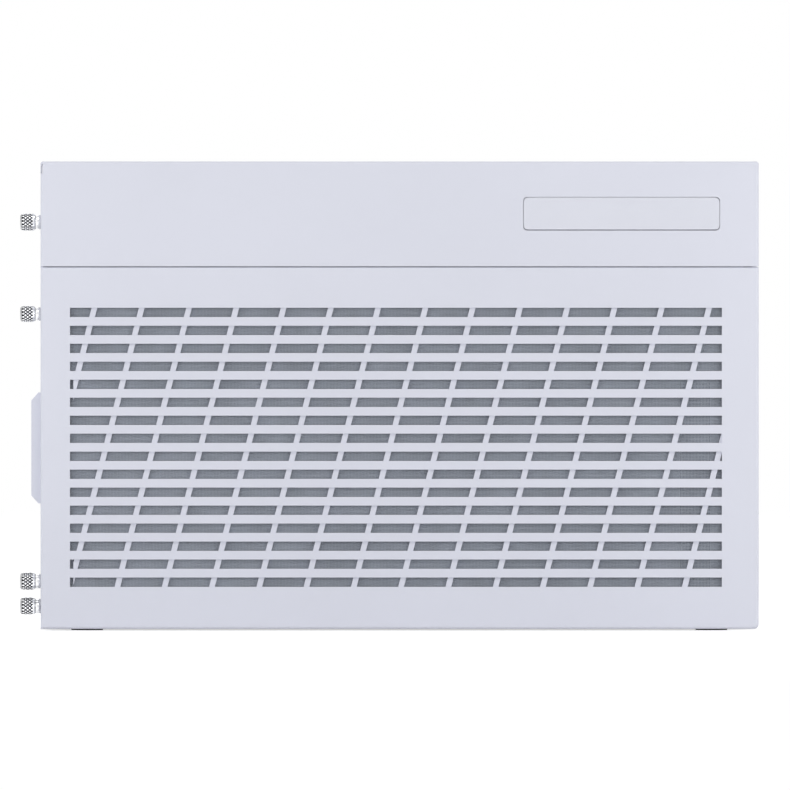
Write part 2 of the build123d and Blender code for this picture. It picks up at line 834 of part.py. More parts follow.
def usb_port(x):
    """Wide port: square metal shell with a contact tongue."""
    mouth = ports_y - port_mouth_proud
    shell = plate_y(Rectangle(usb_width, usb_height), x, door_z, mouth, ports_board_y)
    cavity = Rectangle(usb_width - 2 * port_wall, usb_height - 2 * port_wall)
    shell -= plate_y(cavity, x, door_z, mouth, mouth + usb_cavity_depth)
    tongue = Rectangle(usb_width - 6 * port_wall, usb_tongue)
    return shell + plate_y(tongue, x, door_z + usb_tongue / 2, mouth + sheet, mouth + usb_cavity_depth)


def slim_port(x):
    """Narrow rounded port with a central tongue."""
    mouth = ports_y - port_mouth_proud
    round_end = slim_height / 2 - running_fit
    shell = plate_y(RectangleRounded(slim_width, slim_height, round_end), x, door_z, mouth, ports_board_y)
    cavity = RectangleRounded(slim_width - 2 * port_wall, slim_height - 2 * port_wall, round_end - port_wall)
    shell -= plate_y(cavity, x, door_z, mouth, mouth + usb_cavity_depth)
    tongue = Rectangle(slim_width - 6 * port_wall, slim_tongue)
    return shell + plate_y(tongue, x, door_z, mouth + sheet, mouth + usb_cavity_depth)


def audio_jack(x):
    """Headset socket: square body with a round nose."""
    nose = ports_y - port_mouth_proud
    body = plate_y(Rectangle(jack_size, jack_size), x, door_z, ports_y + sheet, ports_board_y)
    body += rod_y(x, nose, ports_y + sheet, door_z, jack_nose_radius)
    return body - rod_y(x, nose - sheet, nose + usb_cavity_depth, door_z, jack_bore)


def drive_bracket():
    """Raised plate on the floor for one small drive."""
    x0 = front - drive_from_front
    x1 = x0 + drive_length
    y0 = drive_middle - drive_width / 2
    y1 = drive_middle + drive_width / 2
    z1 = floor_top + drive_lift
    bracket = span(x0, x1, y0, y1, z1 - sheet, z1)
    for y, foot_y in ((y0, y0 - drive_foot), (y1 - sheet, y1)):
        bracket += span(x0, x1, y, y + sheet, floor_top, z1)
        bracket += span(x0, x1, foot_y, foot_y + drive_foot, floor_top, floor_top + sheet)
    for along in (-drive_hole_length / 2, drive_hole_length / 2):
        for across in (-drive_hole_width / 2, drive_hole_width / 2):
            x = (x0 + x1) / 2 + along
            bracket -= rod_z(x, drive_middle + across, z1 - 2 * sheet, z1 + sheet, drive_hole_radius)
    return bracket


def build():
    """Every node of the case by name."""
    ports = port_places()
    left_rail = side_rail()
    left_guide = tray_guide()
    nodes = {
        "floor_pan": floor_pan(),
        "rear_wall": rear_wall(),
        "front_wall": front_wall(),
        "left_rail": left_rail,
        "right_rail": mirror(left_rail, about=Plane.XZ),
        "psu_shelf": psu_shelf(),
        "left_tray_guide": left_guide,
        "right_tray_guide": mirror(left_guide, about=Plane.XZ),
        "drive_bracket": drive_bracket(),
        "fan_frame": fan_frame(),
        "fan_rotor": fan_rotor(),
        "fan_screws": fan_screws(),
        "front_fascia": front_fascia(),
        "power_switch": power_switch(),
        "power_button": power_button(),
        "io_bracket": io_bracket(),
        "io_board": io_board(),
        "rear_usb_port": usb_port(ports[0]),
        "front_usb_port": usb_port(ports[1]),
        "slim_usb_port": slim_port(ports[2]),
        "audio_jack": audio_jack(ports[3]),
        "board_tray": board_tray(),
        "board_standoffs": board_standoffs(),
        "slot_covers": slot_covers(),
        "slot_screws": slot_screws(),
        "left_panel": left_panel(),
        "vent_ribs": vent_ribs(),
        "filter_frame": filter_frame(),
        "filter_mesh": filter_mesh(),
        "right_panel": right_panel(),
        "top_cover": top_cover(),
        "door_frame": door_frame(),
        "io_door": io_door(),
    }
    for end, x in (("rear", rear + foot_inset), ("front", front - foot_inset)):
        for side, y in (("left", foot_inset - half), ("right", half - foot_inset)):
            nodes[f"{end}_{side}_foot"] = foot(x, y)
    screw_heights = {
        "cover_screw": cover_screw_height,
        "upper_panel_screw": panel_screw_high,
        "lower_panel_screw": panel_screw_low,
        "tray_screw": tray_screw_height,
    }
    for name, height in screw_heights.items():
        for side, y in (("left", -screw_y), ("right", screw_y)):
            nodes[f"{side}_{name}"] = thumbscrew(y, base + height)
    return nodes


os.makedirs("parts", exist_ok=True)
for node_name, node_shape in build().items():
    export_step(node_shape, f"parts/{node_name}.step")
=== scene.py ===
"""Looks of a small white desktop computer case, dressed over its CAD frame.

The case stands with its slotted side towards -Y and its rear towards -X. Sizes are in metres.
"""
import logging
import math
from dataclasses import dataclass, field, replace
from enum import Enum
from typing import Callable

import bpy
import bmesh
from mathutils import Matrix, Vector


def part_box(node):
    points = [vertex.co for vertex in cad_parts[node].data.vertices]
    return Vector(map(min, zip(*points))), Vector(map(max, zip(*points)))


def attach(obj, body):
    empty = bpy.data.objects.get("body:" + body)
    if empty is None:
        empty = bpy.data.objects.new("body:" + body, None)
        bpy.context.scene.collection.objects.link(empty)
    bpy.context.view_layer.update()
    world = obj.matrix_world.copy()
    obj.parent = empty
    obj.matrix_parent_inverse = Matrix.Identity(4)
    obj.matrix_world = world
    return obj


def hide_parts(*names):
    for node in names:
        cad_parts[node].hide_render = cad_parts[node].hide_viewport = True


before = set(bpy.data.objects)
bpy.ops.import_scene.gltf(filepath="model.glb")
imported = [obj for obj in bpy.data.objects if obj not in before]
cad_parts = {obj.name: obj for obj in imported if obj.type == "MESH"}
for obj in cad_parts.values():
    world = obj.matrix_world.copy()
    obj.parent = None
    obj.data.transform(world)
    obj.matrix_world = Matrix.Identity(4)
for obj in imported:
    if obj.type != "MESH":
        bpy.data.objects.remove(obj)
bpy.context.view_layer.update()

log = logging.getLogger("case")

MM = 0.001
QUARTER_TURN = 90
Colour = tuple[float, float, float]
Place = tuple[float, float, float]
Piece = bpy.types.Object
Material = bpy.types.Material
Tree = bpy.types.NodeTree
Node = bpy.types.Node
Socket = bpy.types.NodeSocket
Face = bmesh.types.BMFace
FaceTest = Callable[[Face], bool]


class Facing(Enum):
    """Direction in which a small piece's top looks."""

    REAR = -QUARTER_TURN
    FRONT = QUARTER_TURN

    @property
    def turn(self) -> Matrix:
        """Rotation that takes +Z to this direction."""
        return Matrix.Rotation(math.radians(self.value), 4, "Y")


def linear(red: int, green: int, blue: int) -> Colour:
    """Turn a screen colour into the renderer's linear values.

    Args:
        red: Red from 0 to 255.
        green: Green from 0 to 255.
        blue: Blue from 0 to 255.

    Returns:
        The three linear values.
    """
    def one(value: int) -> float:
        """Straighten one channel."""
        part = value / 255
        return part / 12.92 if part <= 0.04045 else ((part + 0.055) / 1.055) ** 2.4

    return one(red), one(green), one(blue)


# Finishes

# Nearly all of a pattern's values lie between these two
PATTERN_LOW = 0.3
PATTERN_HIGH = 0.7
# Length of one wave of Blender's wave pattern at a scale of 1
WAVE_LENGTH = math.tau / 20


@dataclass(frozen=True)
class Finish:
    """Surface finish with a fine grain, a slow tint change and a bump.

    Attributes:
        name: Name of the material.
        colour: Linear base colour.
        roughness: Middle roughness.
        metallic: 1 for bare metal, 0 for paint and plastic.
        specular: Specular level of the coat or plastic.
        grain: Size of the surface grain in metres.
        relief: Strength of the grain's bump, from 0 to 1.
        height: Height of the grain in metres.
        tint: Share by which the colour drifts over the piece.
        drift: Size of the colour drift in metres.
        gloss_drift: How far the roughness wanders.
    """

    name: str
    colour: Colour
    roughness: float
    metallic: float = 0.0
    specular: float = 0.5
    grain: float = 0.0006
    relief: float = 0.1
    height: float = 0.0001
    tint: float = 0.02
    drift: float = 0.06
    gloss_drift: float = 0.05

    def blank(self) -> tuple[Material, Tree, Node, Node]:
        """Start a material with its shader and coordinates.

        Returns:
            The material, its tree, the shader node and the coordinate node.
        """
        material = bpy.data.materials.new(self.name)
        material.use_nodes = True
        tree = material.node_tree
        shader = tree.nodes["Principled BSDF"]
        shader.inputs["Metallic"].default_value = self.metallic
        shader.inputs["Specular IOR Level"].default_value = self.specular
        places = tree.nodes.new("ShaderNodeTexCoord")
        return material, tree, shader, places

    def noise(self, tree: Tree, vector: Socket, size: float, detail: float) -> Socket:
        """Add a noise pattern.

        Args:
            tree: Tree to add to.
            vector: Coordinates that it reads.
            size: Size of one blotch in metres.
            detail: Layers of finer noise.

        Returns:
            The pattern.
        """
        node = tree.nodes.new("ShaderNodeTexNoise")
        node.inputs["Scale"].default_value = 1 / size
        node.inputs["Detail"].default_value = detail
        tree.links.new(vector, node.inputs["Vector"])
        return node.outputs["Fac"]

    def spread(self, tree: Tree, value: Socket, low: float, high: float) -> Socket:
        """Map a pattern onto a range of values.

        Args:
            tree: Tree to add to.
            value: Pattern around one half.
            low: Value at the pattern's dark end.
            high: Value at its bright end.

        Returns:
            The mapped value.
        """
        node = tree.nodes.new("ShaderNodeMapRange")
        node.inputs["From Min"].default_value = PATTERN_LOW
        node.inputs["From Max"].default_value = PATTERN_HIGH
        node.inputs["To Min"].default_value = low
        node.inputs["To Max"].default_value = high
        tree.links.new(value, node.inputs["Value"])
        return node.outputs["Result"]

    def shade(self, tree: Tree, value: Socket) -> Socket:
        """Mix a slightly darker and a slightly lighter colour by a pattern.

        Args:
            tree: Tree to add to.
            value: Pattern from 0 to 1.

        Returns:
            The mixed colour.
        """
        mix = tree.nodes.new("ShaderNodeMix")
        mix.data_type = "RGBA"
        mix.inputs["A"].default_value = (*(c * (1 - self.tint) for c in self.colour), 1)
        mix.inputs["B"].default_value = (*(min(1.0, c * (1 + self.tint)) for c in self.colour), 1)
        tree.links.new(value, mix.inputs["Factor"])
        return mix.outputs["Result"]

    def grain_surface(self, tree: Tree, shader: Node, value: Socket) -> None:
        """Let the gloss wander and raise the grain on the surface.

        Args:
            tree: Tree to add to.
            shader: Shader that gets the roughness and the normal.
            value: Pattern of the grain.
        """
        low, high = self.roughness - self.gloss_drift, self.roughness + self.gloss_drift
        tree.links.new(self.spread(tree, value, low, high), shader.inputs["Roughness"])
        node = tree.nodes.new("ShaderNodeBump")
        node.inputs["Strength"].default_value = self.relief
        node.inputs["Distance"].default_value = self.height
        tree.links.new(value, node.inputs["Height"])
        tree.links.new(node.outputs["Normal"], shader.inputs["Normal"])

    def make(self) -> Material:
        """Build the material.

        Returns:
            The finished material.
        """
        material, tree, shader, places = self.blank()
        vector = self.coordinates(tree, places)
        slow = self.noise(tree, vector, self.drift, detail=2)
        fine = self.noise(tree, vector, self.grain, detail=3)
        tinted = self.shade(tree, self.spread(tree, slow, low=0, high=1))
        tree.links.new(tinted, shader.inputs["Base Color"])
        self.grain_surface(tree, shader, fine)
        return material

    def coordinates(self, tree: Tree, places: Node) -> Socket:
        """Return the plain object coordinates."""
        return places.outputs["Object"]


@dataclass(frozen=True)
class BrushedFinish(Finish):
    """Metal with fine lines drawn out along one axis.

    Attributes:
        stretch: How far the grain is squeezed along X, Y and Z.
    """

    stretch: Place = (1.0, 1.0, 0.05)

    def coordinates(self, tree: Tree, places: Node) -> Socket:
        """Draw the grain out along one axis.

        Args:
            tree: Tree to add to.
            places: Coordinate node.

        Returns:
            The drawn-out coordinates.
        """
        mapping = tree.nodes.new("ShaderNodeMapping")
        mapping.inputs["Scale"].default_value = self.stretch
        tree.links.new(places.outputs["Object"], mapping.inputs["Vector"])
        return mapping.outputs["Vector"]


@dataclass(frozen=True)
class TurnedFinish(Finish):
    """Metal faced on a lathe, with rings round an axis along X.

    Attributes:
        centre: Point on the axis.
        ring: Distance between tool marks in metres.
        waver: How far the tool marks wander.
    """

    centre: Place = (0.0, 0.0, 0.0)
    ring: float = 0.001885
    waver: float = 0.4

    def make(self) -> Material:
        """Build the material.

        Returns:
            The finished material.
        """
        material, tree, shader, places = self.blank()
        mapping = tree.nodes.new("ShaderNodeMapping")
        mapping.inputs["Location"].default_value = [-c for c in self.centre]
        tree.links.new(places.outputs["Object"], mapping.inputs["Vector"])
        rings = tree.nodes.new("ShaderNodeTexWave")
        rings.wave_type = "RINGS"
        rings.rings_direction = "X"
        rings.inputs["Scale"].default_value = WAVE_LENGTH / self.ring
        rings.inputs["Distortion"].default_value = self.waver
        tree.links.new(mapping.outputs["Vector"], rings.inputs["Vector"])
        tree.links.new(self.shade(tree, rings.outputs["Fac"]), shader.inputs["Base Color"])
        self.grain_surface(tree, shader, rings.outputs["Fac"])
        return material


@dataclass(frozen=True)
class CollaredFinish(Finish):
    """Plated metal whose plain collar is polished brighter than its knurl, with shade painted into the
    knurl's grooves.

    Attributes:
        edge: Place along X where the collar starts.
        blend: Half width of the change from one to the other.
        polish: Linear colour of the polished collar.
        groove: Linear colour of the painted shade in the grooves of the knurl.
        crest: Name of the attribute that is 0 in the grooves and 1 on the tips.
        shade_fade_low: Height on the attribute below which the grooves get the full painted shade.
        shade_fade_high: Height above which the painted shade is gone and the plating shows.
    """

    edge: float = 0.0
    blend: float = 0.0001
    polish: Colour = (0.82, 0.825, 0.84)
    groove: Colour = (0.008, 0.0085, 0.011)
    crest: str = "crest"
    shade_fade_low: float = 0.28
    shade_fade_high: float = 0.43

    def shade(self, tree: Tree, value: Socket) -> Socket:
        """Paint shade into the grooves of the knurl and brighten the collar.

        Args:
            tree: Tree to add to.
            value: Pattern from 0 to 1.

        Returns:
            The mixed colour.
        """
        places = tree.nodes.new("ShaderNodeTexCoord")
        axes = tree.nodes.new("ShaderNodeSeparateXYZ")
        tree.links.new(places.outputs["Object"], axes.inputs["Vector"])
        step = tree.nodes.new("ShaderNodeMapRange")
        step.inputs["From Min"].default_value = self.edge - self.blend
        step.inputs["From Max"].default_value = self.edge + self.blend
        tree.links.new(axes.outputs["X"], step.inputs["Value"])
        marks = tree.nodes.new("ShaderNodeAttribute")
        marks.attribute_name = self.crest
        height = tree.nodes.new("ShaderNodeMapRange")
        height.inputs["From Min"].default_value = self.shade_fade_low
        height.inputs["From Max"].default_value = self.shade_fade_high
        tree.links.new(marks.outputs["Fac"], height.inputs["Value"])
        # Painted shade: the groove colour on the attribute's low corners, fading to the plating on the tips.
        knurl = tree.nodes.new("ShaderNodeMix")
        knurl.data_type = "RGBA"
        knurl.inputs["A"].default_value = (*self.groove, 1)
        tree.links.new(height.outputs["Result"], knurl.inputs["Factor"])
        tree.links.new(super().shade(tree, value), knurl.inputs["B"])
        whole = tree.nodes.new("ShaderNodeMix")
        whole.data_type = "RGBA"
        whole.inputs["B"].default_value = (*self.polish, 1)
        tree.links.new(step.outputs["Result"], whole.inputs["Factor"])
        tree.links.new(knurl.outputs["Result"], whole.inputs["A"])
        return whole.outputs["Result"]


PAINT = Finish(
    "white_powder_coat", linear(219, 221, 232), 0.52, specular=0.25,
    grain=0.0007, relief=0.12, height=0.00006, tint=0.012, drift=0.12,
)
INNER_PAINT = Finish(
    "chassis_powder_coat", linear(213, 215, 224), 0.52, specular=0.28,
    grain=0.0005, relief=0.25, height=0.0001, tint=0.02, drift=0.08,
)
MOULDED_WHITE = Finish(
    "white_moulded_plastic", linear(218, 220, 230), 0.38,
    grain=0.0004, relief=0.08, height=0.00004, tint=0.01, drift=0.1,
)
FAN_BLACK = Finish(
    "fan_moulded_plastic", (0.022, 0.022, 0.025), 0.45,
    grain=0.0004, relief=0.15, height=0.00006, tint=0.12, drift=0.03,
)
RIM_GREY = Finish(
    "filter_rim_plastic", (0.09, 0.095, 0.105), 0.5,
    grain=0.0004, relief=0.2, height=0.00006, tint=0.08, drift=0.04,
)
THREAD = Finish(
    "filter_thread", (0.355, 0.385, 0.44), 0.55, specular=0.4,
    grain=0.0003, relief=0.2, height=0.00003, tint=0.1, drift=0.02,
)
NICKEL = CollaredFinish(
    "nickel_plate", (0.86, 0.87, 0.89), 0.24, metallic=1.0,
    grain=0.0004, relief=0.12, height=0.00003, tint=0.06, drift=0.003,
)
STEEL = BrushedFinish(
    "zinc_plated_steel", (0.52, 0.52, 0.54), 0.32, metallic=1.0,
    grain=0.0005, relief=0.12, height=0.00003, tint=0.08, drift=0.006, stretch=(0.08, 1.0, 1.0),
)
PORT_STEEL = BrushedFinish(
    "pressed_port_steel", (0.62, 0.63, 0.65), 0.27, metallic=1.0,
    grain=0.0004, relief=0.1, height=0.00002, tint=0.05, drift=0.006, stretch=(1.0, 0.06, 1.0),
)
BUTTON_METAL = TurnedFinish(
    "turned_button_metal", (0.6, 0.61, 0.63), 0.28, metallic=1.0, relief=0.2, height=0.00003, tint=0.06,
)
BRASS = Finish(
    "turned_brass", (0.62, 0.43, 0.16), 0.3, metallic=1.0,
    grain=0.0003, relief=0.1, height=0.00003, tint=0.08, drift=0.004,
)
GOLD = Finish(
    "contact_gold", (0.8, 0.56, 0.2), 0.22, metallic=1.0,
    grain=0.0002, relief=0.05, height=0.00001, tint=0.05, drift=0.002,
)
RUBBER = Finish(
    "pad_rubber", (0.03, 0.03, 0.031), 0.75, specular=0.3,
    grain=0.0007, relief=0.35, height=0.0001, tint=0.15, drift=0.01,
)
BOARD = Finish(
    "board_lacquer", (0.012, 0.06, 0.036), 0.35,
    grain=0.0008, relief=0.15, height=0.00004, tint=0.25, drift=0.004,
)
JACK_BLACK = Finish(
    "socket_plastic", (0.02, 0.02, 0.022), 0.4,
    grain=0.0003, relief=0.12, height=0.00003, tint=0.1, drift=0.01,
)


# Modelling bench

# Upright share of a normal above which a face counts as flat or level, and below which as a side or a slope
FLAT = 0.99
LEVEL = 0.9
SIDE = 0.1
SLOPE = 0.3


def looks_up(face: Face) -> bool:
    """Tell whether a face is level and looks up."""
    return face.normal.z > LEVEL


def looks_down(face: Face) -> bool:
    """Tell whether a face is level and looks down."""
    return face.normal.z < -LEVEL


def is_end(face: Face) -> bool:
    """Tell whether a face is level, at either end of a drum."""
    return looks_up(face) or looks_down(face)


def is_side(face: Face) -> bool:
    """Tell whether a face stands upright."""
    return abs(face.normal.z) < SIDE


class Bench:
    """Everyday modelling moves with Blender's own operators."""

    @staticmethod
    def clear() -> None:
        """Leave edit mode and deselect everything."""
        if bpy.context.mode != "OBJECT":
            bpy.ops.object.mode_set(mode="OBJECT")
        bpy.ops.object.select_all(action="DESELECT")

    @staticmethod
    def named(name: str) -> Piece:
        """Name the object just added and its mesh.

        Args:
            name: New name.

        Returns:
            The object.
        """
        piece = bpy.context.active_object
        piece.name = name
        piece.data.name = name
        return piece

    @staticmethod
    def block(name: str, low: Vector, high: Vector) -> Piece:
        """Add a box between two corners.

        Args:
            name: Name of the piece.
            low: Lowest corner.
            high: Highest corner.

        Returns:
            The box, with its place in its mesh.
        """
        Bench.clear()
        bpy.ops.mesh.primitive_cube_add(size=1, location=(low + high) / 2)
        piece = Bench.named(name)
        piece.scale = high - low
        Bench.settle(piece)
        return piece

    @staticmethod
    def drum(name: str, radius: float, depth: float, sides: int) -> Piece:
        """Add an upright drum that stands on the origin.

        Args:
            name: Name of the piece.
            radius: Radius.
            depth: Height.
            sides: Number of sides.

        Returns:
            The drum.
        """
        Bench.clear()
        middle = (0, 0, depth / 2)
        bpy.ops.mesh.primitive_cylinder_add(vertices=sides, radius=radius, depth=depth, location=middle)
        piece = Bench.named(name)
        Bench.settle(piece)
        return piece

    @staticmethod
    def only(piece: Piece) -> None:
        """Select this piece alone and make it active.

        Args:
            piece: Piece to select.
        """
        Bench.clear()
        piece.select_set(True)
        bpy.context.view_layer.objects.active = piece

    @staticmethod
    def settle(piece: Piece) -> None:
        """Put the piece's place, turn and scale into its mesh."""
        Bench.only(piece)
        bpy.ops.object.transform_apply(location=True, rotation=True, scale=True)

    @staticmethod
    def edit(piece: Piece, mode: str = "FACE") -> bmesh.types.BMesh:
        """Open a piece in edit mode with nothing selected.

        Args:
            piece: Piece to open.
            mode: VERT, EDGE or FACE.

        Returns:
            Its edit mesh.
        """
        Bench.only(piece)
        bpy.ops.object.mode_set(mode="EDIT")
        bpy.ops.mesh.select_mode(type=mode)
        bpy.ops.mesh.select_all(action="DESELECT")
        return bmesh.from_edit_mesh(piece.data)

    @staticmethod
    def pick_faces(piece: Piece, test: FaceTest) -> int:
        """Select the faces that pass a test, in edit mode.

        Args:
            piece: Piece in edit mode.
            test: Which faces to take.

        Returns:
            The number of faces taken.
        """
        bpy.ops.mesh.select_all(action="DESELECT")
        mesh = bmesh.from_edit_mesh(piece.data)
        taken = 0
        for face in mesh.faces:
            if test(face):
                face.select_set(True)
                taken += 1
        bmesh.update_edit_mesh(piece.data)
        return taken

    @staticmethod
    def slice(levels: list[float]) -> None:
        """Cut the piece in edit mode into rings.

        Args:
            levels: Heights of the cuts.
        """
        for level in levels:
            bpy.ops.mesh.select_all(action="SELECT")
            bpy.ops.mesh.bisect(plane_co=(0, 0, level), plane_no=(0, 0, 1), use_fill=False)

    @staticmethod
    def pull(length: float) -> None:
        """Extrude the selected faces upwards, or downwards below zero."""
        bpy.ops.mesh.extrude_region_move(TRANSFORM_OT_translate={"value": (0, 0, length)})

    @staticmethod
    def shut(piece: Piece) -> None:
        """Leave edit mode."""
        Bench.only(piece)

    @staticmethod
    def apply(piece: Piece, kind: str, **settings: object) -> None:
        """Add a modifier, set it and apply it.

        Args:
            piece: Piece that gets it.
            kind: Modifier type.
            settings: Its settings.
        """
        Bench.only(piece)
        modifier = piece.modifiers.new(kind.lower(), kind)
        for key, value in settings.items():
            setattr(modifier, key, value)
        bpy.ops.object.modifier_apply(modifier=modifier.name)

    @staticmethod
    def copy(piece: Piece, name: str, place: Matrix) -> Piece:
        """Copy a piece with its own mesh and put the new place in that mesh.

        Args:
            piece: Model to copy.
            name: Name of the copy.
            place: Turn and place of the copy.

        Returns:
            The copy.
        """
        twin = piece.copy()
        twin.data = piece.data.copy()
        twin.name = name
        twin.data.name = name
        bpy.context.scene.collection.objects.link(twin)
        twin.data.transform(place)
        return twin

    @staticmethod
    def join(name: str, pieces: list[Piece]) -> Piece:
        """Join several pieces into one.

        Args:
            name: Name of the result.
            pieces: Pieces to join.

        Returns:
            The joined piece.
        """
        Bench.only(pieces[0])
        for piece in pieces:
            piece.select_set(True)
        bpy.ops.object.join()
        return Bench.named(name)

    @staticmethod
    def smooth(piece: Piece, degrees: float = 30) -> None:
        """Shade smooth below an angle."""
        Bench.only(piece)
        bpy.ops.object.shade_smooth_by_angle(angle=math.radians(degrees))

    @staticmethod
    def discard(piece: Piece) -> None:
        """Remove a model that was only for copying."""
        bpy.data.objects.remove(piece)


def dress(piece: Piece, material: Material, body: str) -> None:
    """Give a new piece its finish and body.

    Args:
        piece: New piece.
        material: Its material.
        body: CAD body that it moves with.
    """
    piece.data.materials.clear()
    piece.data.materials.append(material)
    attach(piece, body)
    log.info("%s rides on %s", piece.name, body)


# Sub-assemblies


@dataclass
class Thumbscrews:
    """Eight knurled thumbscrews on the rear edge.

    Attributes:
        head: Radius over the knurl.
        collar: Radius of the plain collar.
        neck: Length of the collar.
        neck_sides: Sides of the collar and the shank.
        neck_ease: Bevel at the collar's edges.
        sink: How far the collar reaches into the head.
        slack: Play within which a corner counts as at its level.
        shank: Radius of the threaded shank.
        turns: Rings that stand for the thread, crests and roots together.
        root: Radius of a root as a share of the shank's.
        end_shade_mark: Mark of the driver end, between a groove's 0 and a tip's 1, so that the end gets part
            of the painted shade.
        knurl_around: Diamonds round the head.
        knurl_along: Rows of diamonds.
        knurl_rise: Height of a diamond.
        chamfer: Bevel at both ends of the head.
        cross_reach: Length of an arm of the driver recess.
        cross_width: Width of the driver recess.
        cross_depth: Depth of the driver recess.
        rest_turn: Degrees of turn at rest for each letter of a screw's name, so that they differ.
        names: Names of the screws on one side.
    """

    head: float = 4.5 * MM
    collar: float = 3.5 * MM
    neck: float = 2.8 * MM
    neck_sides: int = 40
    neck_ease: float = 0.25 * MM
    sink: float = 0.2 * MM
    slack: float = 0.01 * MM
    shank: float = 1.64 * MM
    turns: int = 10
    root: float = 0.82
    end_shade_mark: float = 0.36
    knurl_around: int = 13
    knurl_along: int = 3
    knurl_rise: float = 0.5 * MM
    chamfer: float = 0.7 * MM
    cross_reach: float = 1.89 * MM
    cross_width: float = 1.0 * MM
    cross_depth: float = 1.2 * MM
    rest_turn: int = 17
    names: tuple[str, ...] = ("cover_screw", "upper_panel_screw", "lower_panel_screw", "tray_screw")

    def knurled_head(self, length: float) -> Piece:
        """Model one head: a chamfered drum whose side is raised into diamonds.

        Args:
            length: Length of the head.

        Returns:
            The head, standing on the origin with its driver end up.
        """
        head = Bench.drum("thumbscrew_head", self.head - self.knurl_rise, length, self.knurl_around)
        Bench.edit(head)
        Bench.pick_faces(head, is_end)
        bpy.ops.mesh.bevel(offset=self.chamfer, segments=1, affect="EDGES")
        rows = length - 2 * self.chamfer
        Bench.slice([self.chamfer + rows * row / self.knurl_along for row in range(1, self.knurl_along)])
        self.raise_diamonds(head, length)
        Bench.shut(head)
        return head

    def raise_diamonds(self, head: Piece, length: float) -> None:
        """Turn the side's square cells into diamonds and pull each one to a point.

        Args:
            head: Head in edit mode.
            length: Length of the head.
        """
        low, high = self.chamfer + self.slack, length - self.chamfer - self.slack
        core = self.head - self.knurl_rise
        corner = core * (1 + math.cos(math.pi / self.knurl_around)) / 2
        Bench.pick_faces(head, is_side)
        bpy.ops.mesh.poke(offset=0)
        bpy.ops.mesh.select_mode(type="EDGE")
        bpy.ops.mesh.select_all(action="DESELECT")
        mesh = bmesh.from_edit_mesh(head.data)
        for edge in mesh.edges:
            ends = edge.verts
            side = all(is_side(face) for face in edge.link_faces)
            inside = any(low < v.co.z < high for v in ends)
            if side and inside and all(v.co.xy.length > corner for v in ends):
                edge.select_set(True)
        bmesh.update_edit_mesh(head.data)
        bpy.ops.mesh.dissolve_edges(use_verts=False)
        bpy.ops.mesh.select_mode(type="FACE")
        Bench.pick_faces(head, lambda face: abs(face.normal.z) < SLOPE and len(face.verts) == 4)
        bpy.ops.mesh.poke(offset=self.knurl_rise, use_relative_offset=False, center_mode="MEDIAN")

    def mark_crests(self, head: Piece, length: float) -> None:
        """Mark the head's corners for the painted shade: 0 in the grooves and on the floor of the driver
        recess, 1 on the tips, part way at the driver end.

        Args:
            head: Finished head, standing on the origin.
            length: Length of the head.
        """
        tips = self.head - self.knurl_rise / 2
        marks = head.data.attributes.new(NICKEL.crest, "FLOAT", "POINT")
        for vert, mark in zip(head.data.vertices, marks.data):
            # Corners at the driver end get part of the painted shade; those in the grooves and on the recess
            # floor get all of it.
            if vert.co.z > length - self.chamfer - self.slack:
                mark.value = self.end_shade_mark
            else:
                groove = vert.co.z > self.chamfer + self.slack and vert.co.xy.length < tips
                mark.value = 0.0 if groove else 1.0

    def model(self, length: float, shank_length: float) -> Piece:
        """Model one screw along +Z: shank, collar, knurled head and driver recess.

        Args:
            length: Length of the head.
            shank_length: Length of the shank below the seat.

        Returns:
            The screw, its seat at the origin.
        """
        head = self.knurled_head(length)
        arm, half = self.cross_reach, self.cross_width / 2
        top = length + self.cross_depth
        for wide, deep in ((half, arm), (arm, half)):
            low = Vector((-wide, -deep, length - self.cross_depth))
            cutter = Bench.block("cross_cutter", low, Vector((wide, deep, top)))
            Bench.apply(head, "BOOLEAN", object=cutter, operation="DIFFERENCE", solver="EXACT")
            Bench.discard(cutter)
        self.mark_crests(head, length)
        head.data.transform(Matrix.Translation((0, 0, self.neck)))
        neck = self.turned_neck(shank_length)
        screw = Bench.join("thumbscrew_model", [head, neck])
        Bench.smooth(screw, 25)
        return screw

    def turned_neck(self, shank_length: float) -> Piece:
        """Model the collar and the threaded shank as one turned piece.

        Args:
            shank_length: Length of the shank.

        Returns:
            The collar and shank.
        """
        neck = Bench.drum("thumbscrew_neck", self.collar, self.neck + self.sink, self.neck_sides)
        Bench.edit(neck)
        Bench.pick_faces(neck, looks_down)
        bpy.ops.mesh.inset(thickness=self.collar - self.shank)
        Bench.pull(-shank_length)
        Bench.slice([-shank_length * ring / self.turns for ring in range(1, self.turns)])
        bpy.ops.mesh.select_mode(type="VERT")
        bpy.ops.mesh.select_all(action="DESELECT")
        mesh = bmesh.from_edit_mesh(neck.data)
        for vert in mesh.verts:
            ring = round(-vert.co.z / shank_length * self.turns)
            if vert.co.z < -self.slack and ring % 2 == 1:
                vert.select_set(True)
        bmesh.update_edit_mesh(neck.data)
        bpy.ops.transform.resize(value=(self.root, self.root, 1), center_override=(0, 0, 0))
        Bench.shut(neck)
        sharp = math.radians(60)
        Bench.apply(neck, "BEVEL", width=self.neck_ease, segments=2, limit_method="ANGLE", angle_limit=sharp)
        return neck

    def build(self) -> None:
        """Put a screw at each of the eight places."""
        low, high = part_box("left_cover_screw")
        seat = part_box("top_cover")[0].x
        material = replace(NICKEL, edge=seat - self.neck).make()
        model = self.model(seat - low.x - self.neck, high.x - seat)
        for name in self.names:
            for side in ("left", "right"):
                node = f"{side}_{name}"
                start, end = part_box(node)
                middle = (start + end) / 2
                degrees = self.rest_turn * len(node) % QUARTER_TURN
                turn = Matrix.Rotation(math.radians(degrees), 4, "Z")
                place = Matrix.Translation((seat, middle.y, middle.z)) @ Facing.REAR.turn @ turn
                screw = Bench.copy(model, f"{node}_knurled", place)
                dress(screw, material, node)
                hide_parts(node)
        Bench.discard(model)


